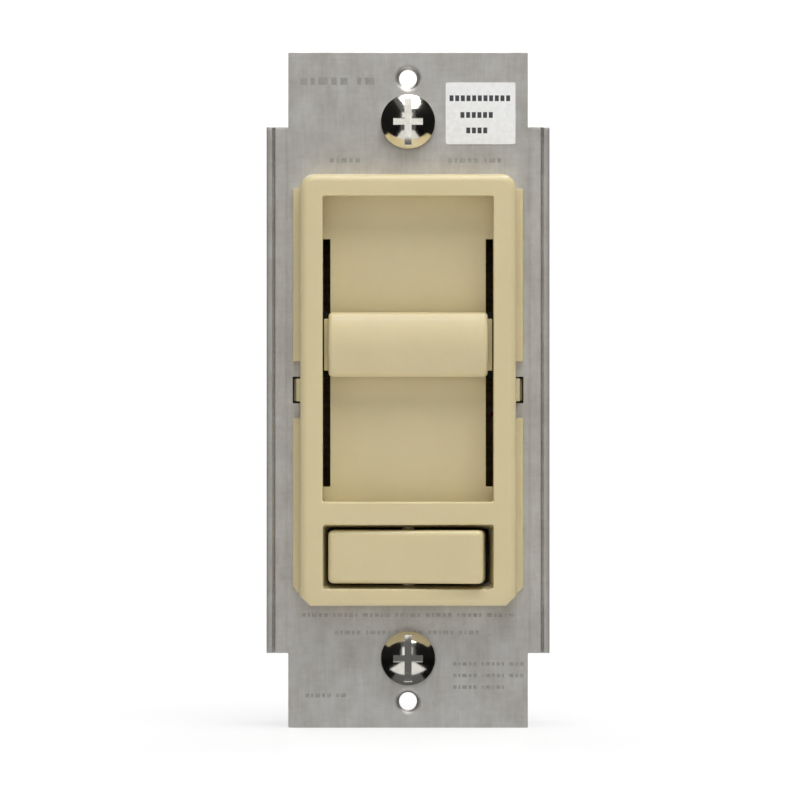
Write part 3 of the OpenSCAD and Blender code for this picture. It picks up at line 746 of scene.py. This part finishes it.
class DIMMER_OT_add_strap(bpy.types.Operator):
    """Adds the aluminium strap with its break-off fins, slots, holes and stamped marks"""

    bl_idname = "dimmer.add_strap"
    bl_label = "Add Strap"

    def execute(self, context):
        tab, fin, top, fin_top = 18.6, 22.0, 52.5, 40.9
        score, nicked = 19.2, 20.9
        bm = bmesh.new()
        block(bm, (-tab, -STRAP_T, -top), (tab, 0, top))
        slice_across(bm, 2, -fin_top, fin_top)
        for side in (-1, 1):
            edge = faces_between(
                bm, (side * tab - 0.01, -STRAP_T, -fin_top), (side * tab + 0.01, 0, fin_top),
                (side, 0, 0),
            )
            push(bm, edge, (side * (fin - tab), 0, 0))
        soften(bm, sharp_edges(bm, 80), 0.12, 2)
        # Each fin has a plain scored line and, near its edge, one nicked every 1.2 mm
        for line in (score, nicked):
            cuts = [s * (line + d) for s in (-1, 1) for d in (-0.28, 0, 0.28)]
            slice_across(bm, 0, *cuts)
        nicks = 68
        slice_across(bm, 2, *[fin_top * step / nicks for step in range(1 - nicks, nicks)])
        for v in bm.verts:
            on_front, on_back = close(v.co.y, -STRAP_T), close(v.co.y, 0)
            if close(abs(v.co.x), score):
                v.co.y += 0.06 if on_front else -0.4 if on_back else 0
            elif close(abs(v.co.x), nicked) and on_front:
                v.co.y += 0.45 if round(v.co.z * nicks / fin_top) % 2 else 0.05
        stamped = -STRAP_T + 0.06
        tools = bmesh.new()
        for s in (-1, 1):
            oblong(tools, 7.2, 4.2, (0, -3, s * BOX_SCREW_Z), 2)
            rod(tools, 1.6, (0, -3, s * PLATE_HOLE_Z), (0, 2, s * PLATE_HOLE_Z), 40)
            rod(
                tools, 2.45, (0, -STRAP_T - 0.12, s * PLATE_HOLE_Z),
                (0, -STRAP_T + 0.45, s * PLATE_HOLE_Z), 40, 1.5,
            )
            block(tools, (s * 12.625 - 1, -3, -15.6), (s * 12.625 + 1, 2, 24))
            block(tools, (s * 17.1 - 0.85, -3, -2.05), (s * 17.1 + 0.85, 2, 2.05))
            for t in (-1, 1):
                x, z = s * RIVET_X, t * RIVET_Z
                rod(tools, 1.25, (x, -3, z), (x, 2, z), 24)
                rod(tools, 1.96, (x, -STRAP_T - 0.01, z), (x, -0.89, z), 24, 1.25)
        window = bmesh.new()
        block(window, (-13, -3, ROCKER_Z - 4.7), (13, 2, ROCKER_Z + 4.7))
        soften(window, edges_where(window, lambda a, b: not close(a.y, b.y)), 1, 4)
        join(tools, window)
        for x, z, shaft, head in ((5.2, 28.3, 1.55, 2.45), (9.2, -18.4, 1.25, 2.05)):
            rod(tools, shaft, (x, -3, z), (x, 2, z), 24)
            cone_end = shaft - head - STRAP_T
            rod(tools, head, (x, -STRAP_T - 0.01, z), (x, cone_end, z), 24, shaft)
        # Generic stamped rows in place of lettering: (start, end, height, thickness)
        for x, last, z, thick in (
            (-16.8, -6.0, 48.0, 1.1),
            (-12.2, -8.0, 35.7, 0.7),
            (6.2, 14.8, 35.7, 0.7),
            (-16.5, 16.6, -35.0, 0.6),
            (-11.4, 11.0, -37.7, 0.6),
            (7.0, 17.4, -42.6, 0.55),
            (7.0, 17.4, -44.4, 0.55),
            (7.0, 14.6, -46.2, 0.55),
            (-16.0, -10.4, -47.5, 0.6),
        ):
            # Dashes of four widths, and a wider space after every fifth
            step = 0
            while x < last:
                dash = thick * (1.0, 0.6, 1.3, 0.8)[step % 4]
                block(tools, (x, -3, z - thick / 2), (x + dash, stamped, z + thick / 2))
                step += 1
                x += dash + thick * (0.5 if step % 5 else 1.4)
        bm = combined(bm, tools, "DIFFERENCE")
        for face in faces_between(bm, (-tab, stamped, -top), (tab, stamped, top), -INTO_WALL):
            face.material_index = 1
        # Tapped threads of the two wall-plate holes
        for s in (-1, 1):
            profile = [(1.65, -0.28), (1.4, -0.05), (1.4, 0.05), (1.65, 0.28)]
            thread(bm, profile, (0, -1.2, s * PLATE_HOLE_Z), 1.1)
        finish_piece(
            bm, "strap_sheet", "dimmer", ["strap"], "aluminium_sheet", aluminium(context),
            # The stamp burnishes the sheet: smoother and a little darker
            grained(
                "Stamped aluminium", "CFCCC6", "B9B5AF", ((0.6, 1),), (0.38, 0.48), 1.0, 0.004
            ),
        )
        return {"FINISHED"}


class DIMMER_OT_add_box_screws(bpy.types.Operator):
    """Adds the two domed box screws with slot, cross recess and thread"""

    bl_idname = "dimmer.add_box_screws"
    bl_label = "Add Box Screws"

    def execute(self, context):
        nickel = nickel_plate()
        for s, place in ((1, "top"), (-1, "bottom")):
            seat = -STRAP_T - 0.3
            head_r, rim, dome, neck = 4.2, 0.9, 1.75, 1.45
            thread_r, thread_end, tip = 1.75, 19.1, 19.7
            slot, arm = 0.55, 2.3
            curve = (head_r**2 + dome**2) / (2 * dome)
            profile = []
            for step in range(11):
                r = head_r * math.sin(math.pi / 2 * step / 10)
                drop = curve - math.sqrt(curve**2 - r**2)
                profile.append((r, seat - rim - dome + drop))
            profile += [
                (head_r, seat - 0.12), (head_r - 0.12, seat), (neck, seat),
                (neck, thread_end), (neck - 0.55, tip), (0, tip),
            ]
            bm = bmesh.new()
            turned(bm, profile)
            tool = bmesh.new()
            block(tool, (-slot, seat - 5, -6), (slot, seat - 1.45, 6))
            cross = bmesh.new()
            block(cross, (-arm, seat - 5, -slot), (arm, seat - 1.2, slot))
            block(cross, (-slot, seat - 5, -arm), (slot, seat - 1.2, arm))
            bm = combined(bm, tool, "DIFFERENCE")
            bm = combined(bm, cross, "DIFFERENCE")
            crisp = [
                e for e in sharp_edges(bm, 40)
                if all(v.co.y < seat - rim - 0.02 for v in e.verts)
            ]
            soften(bm, crisp, 0.1, 2)
            start = 2.0
            profile = [
                (neck - 0.05, -0.33), (thread_r, -0.05), (thread_r, 0.05), (neck - 0.05, 0.33)
            ]
            thread(bm, profile, (0, start, 0), int((thread_end - start) / PITCH) - 1)
            bmesh.ops.translate(bm, verts=bm.verts[:], vec=(0, 0, s * BOX_SCREW_Z))
            finish_piece(
                bm, f"box_screw_{place}_plated", f"{place}_screw", [f"box_screw_{place}"],
                "nickel_steel", nickel,
            )
        return {"FINISHED"}


class DIMMER_OT_add_label(bpy.types.Operator):
    """Adds the small paper label with three rows of generic print"""

    bl_idname = "dimmer.add_label"
    bl_label = "Add Label"

    def execute(self, context):
        low, high = Vector((5.85, -STRAP_T - 0.1, 38.2)), Vector((16.7, -STRAP_T, 47.8))
        bm = bmesh.new()
        block(bm, low, high)
        soften(bm, edges_where(bm, lambda a, b: not close(a.y, b.y)), 0.3, 3)
        # Rows of short dashes, each (height, first dash, number of dashes)
        tall, dash, pitch = 0.9, 0.62, 0.88
        for z, first, count in ((45.35, 6.45, 11), (42.75, 8.15, 6), (40.35, 9.05, 4)):
            ends = [first + pitch * i + part for i in range(count) for part in (0, dash)]
            slice_across(bm, 2, z - tall / 2, z + tall / 2)
            slice_across(bm, 0, *ends)
            for x1, x2 in zip(ends[::2], ends[1::2]):
                for face in faces_between(
                    bm, (x1, low.y, z - tall / 2), (x2, low.y, z + tall / 2), -INTO_WALL
                ):
                    face.material_index = 1
        paper = grained(
            # Coated label paper, calendered: near white, faint fibre clouds, silky
            "Coated label paper", "F4F4F3", "E9E9E8", ((0.8, 1),), (0.45, 0.6), bump=0.003,
        )
        ink = grained(
            # Black thermal print on paper: neutral, slightly uneven, dull
            "Black label print", "38383A", "4A4A4D", ((0.25, 1),), (0.55, 0.7),
        )
        finish_piece(bm, "paper_label", "dimmer", ["rating_label"], "white_paper", paper, ink)
        return {"FINISHED"}


class DIMMER_OT_add_housing(bpy.types.Operator):
    """Adds the black back housing with its bosses, ribs, rear panel and lead exits"""

    bl_idname = "dimmer.add_housing"
    bl_label = "Add Back Housing"

    def execute(self, context):
        w, h, near, deep, wall = 21.5, 35.5, 0.05, 31.0, 1.8
        boss_r, boss_end, bore_r, bore_end = 2.6, 10, 1.22, 8.6
        bm = bmesh.new()
        block(bm, (-w, near, -h), (w, deep, h))
        front = faces_between(bm, (-w, near, -h), (w, near, h), -INTO_WALL)
        bmesh.ops.delete(bm, geom=front, context="FACES")
        corners = edges_where(
            bm, lambda a, b: not close(a.y, b.y) and close(a.x, b.x) and close(a.z, b.z)
        )
        soften(bm, corners, 2.4, 6)
        rear = [e for e in sharp_edges(bm) if all(close(v.co.y, deep) for v in e.verts)]
        soften(bm, rear, 2.2, 6)
        bmesh.ops.recalc_face_normals(bm, faces=bm.faces[:])
        bmesh.ops.solidify(bm, geom=bm.faces[:], thickness=wall)
        extra = bmesh.new()
        for x in (-1, 1):
            for z in (-1, 1):
                place, level = x * RIVET_X, z * RIVET_Z
                rod(extra, boss_r, (place, near, level), (place, boss_end, level), 32)
                ends = sorted((place, x * (w - 1)))
                block(extra, (ends[0], near, level - 0.8), (ends[1], boss_end, level + 0.8))
            for z in (-18, 18):
                ends = sorted((x * 17, x * (w - 1)))
                block(extra, (ends[0], 15.85, z - 1), (ends[1], deep - 1, z + 1))
        bm = combined(bm, extra, "UNION")
        tools = bmesh.new()
        for x in (-1, 1):
            for z in (-1, 1):
                place, level = x * RIVET_X, z * RIVET_Z
                rod(tools, bore_r, (place, -1, level), (place, bore_end, level), 24)
                # Marks of the mould's ejector pins
                place, level = x * 16.5, z * 25
                rod(tools, 1.6, (place, deep - 0.15, level), (place, deep + 1, level), 24)
        for i in (-1, 0, 1):
            rod(tools, 1.7, (i * 9, deep - 4, -28), (i * 9, deep + 1, -28), 32)
        panel = bmesh.new()
        block(panel, (-13, deep - 0.5, -14), (13, deep + 1, 20))
        soften(panel, edges_where(panel, lambda a, b: not close(a.y, b.y)), 1.2, 5)
        join(tools, panel)
        bm = combined(bm, tools, "DIFFERENCE")
        # Phenolic-filled thermoplastic from a spark-eroded tool: black, even and
        # dull, with a pebbled skin of about 0.3 mm
        black = grained(
            "Spark-textured black thermoplastic", "1C1B1A", "262523",
            ((0.35, 1),), (0.5, 0.62), bump=0.02,
        )
        finish_piece(bm, "rear_case", "dimmer", ["back_housing"], "black_phenolic", black)
        return {"FINISHED"}


# Each is (name, light, dark, layer of grain, roughness, metal, relief, nodes)
INNER_FINISHES = (
    # Half-hard cartridge brass strip, bright rolled, slightly tarnished
    ("Cartridge brass strip", "D8B25C", "B98F3E", (1.6, 1, (1, 1, 6)), (0.24, 0.38), 1.0, 0.004,
     ["pot_wiper", "contact_arm", "fixed_contacts", "fulcrum_terminal", "ground_lug"]),
    # Acetal, moulded and unpainted: deep black with an oily soft gloss
    ("Black acetal", "1A1A1C", "232325", (0.8, 1), (0.36, 0.45), 0.0, 0.004,
     ["slider_carriage", "pot_lever"]),
    # Natural acetal: milky white, soft gloss
    ("Natural acetal", "F0EEE6", "E6E3D8", (1.2, 1), (0.34, 0.42), 0.0, 0.003,
     ["rocker_plunger"]),
    # Hot-dip tinned steel: pale, faintly spangled
    ("Tinned steel", "D4D6D6", "B4B7B8", (0.9, 1), (0.22, 0.36), 1.0, 0.004,
     ["pot_case", "pot_pins"]),
    # Paper-phenolic board, pressed: tan with brown fibre flecks
    ("Paper-phenolic board", "B88F52", "9C7440", (0.6, 1, (3, 1, 1)), (0.42, 0.55), 0.0, 0.006,
     ["circuit_board", "pot_track"]),
    # Music wire, drawn: dark bright steel with drawing lines
    ("Music wire", "9A9A98", "7D7D7C", (0.3, 1), (0.2, 0.3), 1.0, 0.001,
     ["plunger_spring"]),
    # Silver contact rivets, coined: pale and satiny
    ("Coined silver", "E9E7E2", "CFCBC2", (0.5, 1), (0.2, 0.32), 1.0, 0.002,
     ["moving_contacts"]),
    # Epoxy moulding compound, transfer moulded: dull charcoal
    ("Epoxy moulding compound", "222224", "2E2E30", (0.3, 1), (0.5, 0.65), 0.0, 0.006,
     ["triac"]),
    # Silicone-glass pad: grey cloth under rubber
    ("Silicone-glass cloth", "B9B7AF", "A3A199", (0.4, 1), (0.6, 0.75), 0.0, 0.01,
     ["triac_pad"]),
    # Soft aluminium rivet, headed cold: bright and smooth
    ("Cold-headed aluminium", "CFCDC9", "B5B3AE", (0.8, 1), (0.28, 0.4), 1.0, 0.003,
     ["triac_rivet"]),
    # Powdered-iron ring with a baked coat: dark grey, orange-peel skin
    ("Coated powdered iron", "3C3C3B", "4B4A48", (0.5, 1), (0.4, 0.55), 0.0, 0.012,
     ["choke_core"]),
    # Metallised-film capacitor in a dipped epoxy coat: glossy yellow
    ("Yellow capacitor coat", "D9A526", "C8921C", (2.0, 1), (0.22, 0.3), 0.0, 0.01,
     ["film_capacitor"]),
    # Dipped red epoxy: glossy, slightly uneven
    ("Red dipped epoxy", "A8301F", "8F2617", (2.0, 1), (0.2, 0.28), 0.0, 0.012,
     ["trigger_capacitor"]),
    # Carbon-film resistor lacquer: beige and satin
    ("Resistor lacquer", "CBB388", "B99F72", (0.8, 1), (0.3, 0.42), 0.0, 0.004,
     ["resistors"]),
    # Glass-bodied diode: amber glass with a clear gloss
    ("Amber diode glass", "B3562F", "9A4523", (0.8, 1), (0.08, 0.16), 0.0, 0.0,
     ["diac"]),
    # Trimmer body: blue thermoplastic, satin
    ("Blue thermoplastic", "2D5FA8", "255192", (0.8, 1), (0.35, 0.45), 0.0, 0.004,
     ["trim_pot"]),
    # Zinc-plated steel, bright passivated: cool sheen with faint patches
    ("Bright zinc plate", "C6CACE", "A9ADB2", (1.2, 1), (0.22, 0.36), 1.0, 0.003,
     ["housing_rivets"]),
    # Vulcanised fibre, punched sheet: red-brown, matt, fibrous
    ("Vulcanised fibre", "7A5238", "684430", (0.4, 1), (0.55, 0.7), 0.0, 0.01,
     ["washer_top", "washer_bottom"]),
    # Satin black moulding, plain polished tool
    ("Satin black thermoplastic", "201F1E", "292826", (0.8, 1), (0.4, 0.5), 0.0, 0.004,
     ["mechanism_frame", "switch_base"]),
)


class DIMMER_OT_finish_inside(bpy.types.Operator):
    """Gives the mechanism, the circuit and the small metal pieces their finishes"""

    bl_idname = "dimmer.finish_inside"
    bl_label = "Finish Inner Pieces"

    def execute(self, context):
        for name, light, dark, layer, rough, metal, relief, nodes in INNER_FINISHES:
            finish = grained(name, light, dark, (layer,), rough, metal, relief)
            for node in nodes:
                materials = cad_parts[node].data.materials
                materials.clear()
                materials.append(finish)
        return {"FINISHED"}


class DIMMER_OT_add_choke_winding(bpy.types.Operator):
    """Adds the choke's winding, turn by turn round its ring core"""

    bl_idname = "dimmer.add_choke_winding"
    bl_label = "Add Choke Winding"

    def execute(self, context):
        centre = Vector((-7, 20.6, 13))
        wire, turns = 0.45, 26
        inside, outside, half_tall = 4.3, 9.3, 3.9
        first, arc = 25, 310  # degrees, as on the hidden ring that it replaces
        bm = bmesh.new()
        for i in range(turns):
            angle = math.radians(first + arc * (i + 0.5) / turns)
            loop = bmesh.new()
            block(loop, (inside, -half_tall, -wire), (outside, half_tall, wire))
            inner = faces_between(loop, (4, -5, wire), (10, 5, wire), UP)
            inner += faces_between(loop, (4, -5, -wire), (10, 5, -wire), -UP)
            bmesh.ops.inset_region(loop, faces=inner, thickness=2 * wire - 0.05)
            bmesh.ops.bridge_loops(loop, edges=[e for f in inner for e in f.edges])
            bmesh.ops.delete(loop, geom=inner, context="FACES")
            soften(loop, sharp_edges(loop, 60), 0.4, 2)
            turn = Matrix.Rotation(-angle, 3, "Y")
            bmesh.ops.rotate(loop, verts=loop.verts[:], cent=(0, 0, 0), matrix=turn)
            bmesh.ops.translate(loop, verts=loop.verts[:], vec=centre)
            bmesh.ops.recalc_face_normals(loop, faces=loop.faces[:])
            join(bm, loop)
        # Enamelled copper wire: warm and bright under clear enamel
        copper = grained(
            "Enamelled copper wire", "B5622E", "8E4319", ((0.8, 1),), (0.2, 0.3), 1.0, 0.002
        )
        finish_piece(bm, "choke_turns", "dimmer", ["choke_winding"], "copper_wire", copper)
        return {"FINISHED"}


class DIMMER_OT_set_stage(bpy.types.Operator):
    """Sets the white sheet, the cards that the metal mirrors, the lights and the camera"""

    bl_idname = "dimmer.set_stage"
    bl_label = "Set Stage"

    def execute(self, context):
        scene = context.scene
        stage = scene.dimmer_stage
        floor_z = cad_bounds[0].z
        # A sheet that sweeps up behind the object
        bm = bmesh.new()
        bmesh.ops.create_grid(bm, x_segments=1, y_segments=1, size=1)
        bmesh.ops.scale(bm, vec=(2.5, 0.85, 1), verts=bm.verts[:])
        bmesh.ops.translate(bm, verts=bm.verts[:], vec=(0, 0.15, floor_z))
        far = [e for e in bm.edges if all(v.co.y > 0.9 for v in e.verts)]
        bmesh.ops.spin(
            bm, geom=far + [v for e in far for v in e.verts], cent=(0, 1.0, floor_z + 0.5),
            axis=(1, 0, 0), angle=math.pi / 2, steps=12,
        )
        top = max(v.co.z for v in bm.verts)
        rim = [e for e in bm.edges if all(v.co.z > top - 1e-4 for v in e.verts)]
        made = bmesh.ops.extrude_edge_only(bm, edges=rim)["geom"]
        bmesh.ops.translate(
            bm, verts=[v for v in made if isinstance(v, bmesh.types.BMVert)], vec=(0, 0, 1.5)
        )
        for face in bm.faces:
            face.smooth = True
        sheet = new_object(bm, "backdrop_sheet")
        # Opal acrylic sheet lit from below, polished: an even white with a faint mirror
        white, tree = new_material("Opal acrylic sheet")
        diffuse = add_node(tree, "ShaderNodeBsdfDiffuse", {"Color": (0.22, 0.22, 0.22, 1)})
        glow = add_node(tree, "ShaderNodeEmission", {"Strength": 0.8})
        body = add_node(tree, "ShaderNodeAddShader", {0: diffuse.outputs[0], 1: glow.outputs[0]})
        gloss = add_node(
            tree, "ShaderNodeBsdfGlossy", {"Color": (0.9, 0.9, 0.9, 1), "Roughness": 0.08}
        )
        show(tree, add_node(
            tree, "ShaderNodeMixShader", {"Fac": 0.1, 1: body.outputs[0], 2: gloss.outputs[0]}
        ))
        sheet.data.materials.append(white)
        # The metal mirrors the cards below instead of the sheet
        sheet.visible_glossy = False

        # Cards that show in mirrors only: dark on both sides, and a glowing one below the camera
        # that paints a bright reflection
        dark, tree = new_material("Dark card")
        show(tree, add_node(tree, "ShaderNodeBsdfDiffuse", {"Color": (0.01, 0.01, 0.01, 1)}))
        # The low card glows though it is no lamp: a painted reflection in the metal
        glowing_reflector, tree = new_material("Glowing reflection card")
        show(tree, add_node(tree, "ShaderNodeEmission", {"Strength": 0.9}))
        for name, finish, low, high in (
            ("left_card", dark, (-0.2, -0.45, -0.3), (-0.2, 0.02, 0.35)),
            ("right_card", dark, (0.2, -0.45, -0.3), (0.2, 0.02, 0.35)),
            ("low_glow_card", glowing_reflector, (-0.12, -0.32, -0.12), (0.12, -0.06, -0.12)),
        ):
            bm = bmesh.new()
            block(bm, low, Vector(high) + Vector((0.001, 0, 0.001)))
            card = new_object(bm, name)
            card.data.materials.append(finish)
            card.visible_camera = card.visible_diffuse = card.visible_shadow = False

        def softbox(name, place, aim, size, power):
            light = bpy.data.lights.new(name, "AREA")
            light.shape = "RECTANGLE"
            light.size, light.size_y = size
            light.energy = power
            lamp = bpy.data.objects.new(name, light)
            lamp.location = place
            toward = Vector(aim) - Vector(place)
            lamp.rotation_euler = toward.to_track_quat("-Z", "Y").to_euler()
            scene.collection.objects.link(lamp)

        softbox("Overhead softbox", (0.08, -0.22, 0.62), (0, 0, 0), (0.5, 0.6), 4.8)
        softbox("Front fill", (-0.06, -1.4, 0.42), (0, 0, 0), (0.8, 0.8), 1.9)
        softbox("Backdrop light", (0, 0.9, 1.3), (0, 1.5, 0.0), (1.6, 0.4), 30)

        world = bpy.data.worlds.new("Studio")
        world.use_nodes = True
        sky = world.node_tree.nodes["Background"].inputs
        sky["Color"].default_value = (1, 1, 1, 1)
        sky["Strength"].default_value = 0.12
        scene.world = world
        scene.view_settings.view_transform = "Standard"

        camera_data = bpy.data.cameras.new("Camera")
        camera_data.sensor_width = 36
        camera_data.lens = 36 * stage.camera_distance / stage.view_width
        camera_data.clip_end = 20
        camera = bpy.data.objects.new("Camera", camera_data)
        target = Vector((-1.25, 0, -1.56)) * MM
        turn = stage.camera_turn
        back = Vector((-math.sin(turn), -math.cos(turn), 0))
        camera.location = target + back * stage.camera_distance
        camera.rotation_euler = (-back).to_track_quat("-Z", "Y").to_euler()
        scene.collection.objects.link(camera)
        scene.camera = camera
        return {"FINISHED"}


# ---------------------------------------------------------------- panel


class DIMMER_PT_panel(bpy.types.Panel):
    """Lists the dimmer's settings and pieces"""

    bl_idname = "DIMMER_PT_panel"
    bl_label = "Slide Dimmer"
    bl_space_type = "VIEW_3D"
    bl_region_type = "UI"
    bl_category = "Dimmer"

    def draw(self, context):
        layout = self.layout
        layout.use_property_split = True
        for title, group in (
            ("Face", context.scene.dimmer_face),
            ("Controls", context.scene.dimmer_controls),
            ("Finishes", context.scene.dimmer_finish),
            ("Stage", context.scene.dimmer_stage),
        ):
            box = layout.box()
            box.label(text=title)
            for name in group.__annotations__:
                box.prop(group, name)
        column = layout.column(align=True)
        for operator in PIECES:
            column.operator(operator.bl_idname)


PIECES = (
    DIMMER_OT_add_strap,
    DIMMER_OT_add_face,
    DIMMER_OT_add_knob,
    DIMMER_OT_add_rocker,
    DIMMER_OT_add_box_screws,
    DIMMER_OT_add_label,
    DIMMER_OT_add_housing,
    DIMMER_OT_add_choke_winding,
    DIMMER_OT_finish_inside,
    DIMMER_OT_set_stage,
)
SETTINGS = {
    "dimmer_face": FaceSettings,
    "dimmer_controls": ControlSettings,
    "dimmer_finish": FinishSettings,
    "dimmer_stage": StageSettings,
}


def register():
    for name, group in SETTINGS.items():
        bpy.utils.register_class(group)
        setattr(bpy.types.Scene, name, bpy.props.PointerProperty(type=group))
    for operator in PIECES:
        bpy.utils.register_class(operator)
    bpy.utils.register_class(DIMMER_PT_panel)


def unregister():
    bpy.utils.unregister_class(DIMMER_PT_panel)
    for operator in reversed(PIECES):
        bpy.utils.unregister_class(operator)
    for name, group in reversed(SETTINGS.items()):
        delattr(bpy.types.Scene, name)
        bpy.utils.unregister_class(group)


def main():
    register()
    bpy.ops.dimmer.add_strap()
    bpy.ops.dimmer.add_face()
    bpy.ops.dimmer.add_knob()
    bpy.ops.dimmer.add_rocker()
    bpy.ops.dimmer.add_box_screws()
    bpy.ops.dimmer.add_label()
    bpy.ops.dimmer.add_housing()
    bpy.ops.dimmer.add_choke_winding()
    bpy.ops.dimmer.finish_inside()
    bpy.ops.dimmer.set_stage()


if __name__ == "__main__":
    main()
